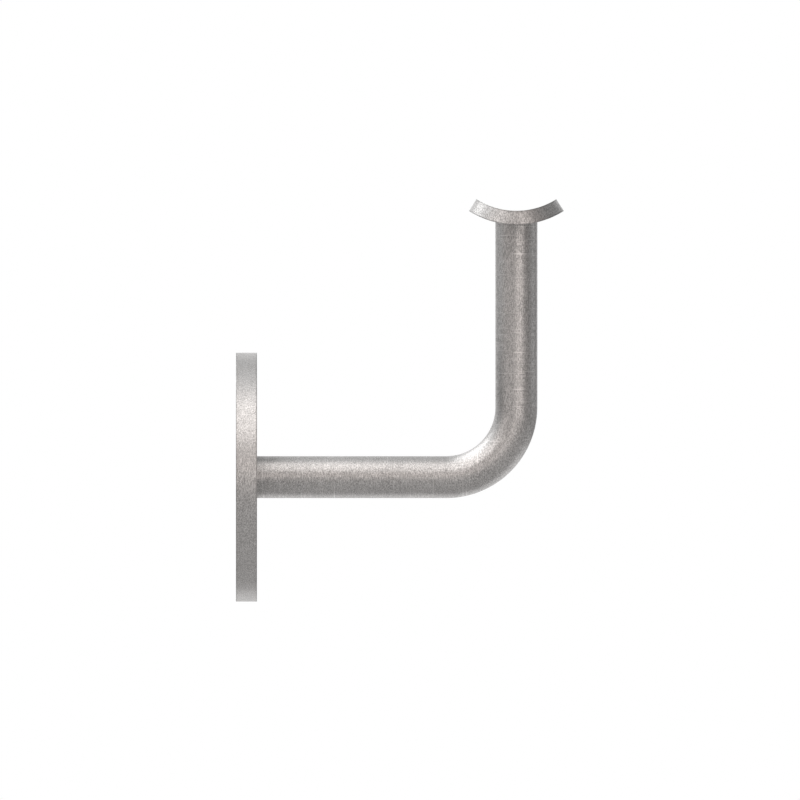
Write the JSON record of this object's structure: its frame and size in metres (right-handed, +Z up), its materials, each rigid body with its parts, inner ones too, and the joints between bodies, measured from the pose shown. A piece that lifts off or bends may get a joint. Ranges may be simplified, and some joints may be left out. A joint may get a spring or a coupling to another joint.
{
  "type": "handrail bracket",
  "caption": "Wall bracket for a round handrail: a round wall flange, a round rod bent upwards and a curved saddle that cradles the rail from below.",
  "frame": {"origin": "middle of the flange's wall face, on the wall plane, at the centre of the screw circle", "axes": "+X out of the wall along the rod's lower leg, +Z up along its upright, Y along the handrail"},
  "size_m": [0.0935, 0.071, 0.1148],
  "materials": {
    "flange_steel": "satin, finely brushed on the rim and linished on the faces",
    "rod_steel": "satin, finely brushed",
    "saddle_steel": "satin, finely brushed",
    "weld_metal": "weld bead ground flush"
  },
  "bodies": {
    "root": {"wall_flange": "flange_steel", "bent_rod": "rod_steel", "rail_saddle": "saddle_steel", "flange_weld": "weld_metal", "saddle_weld": "weld_metal"}
  },
  "joints": []
}
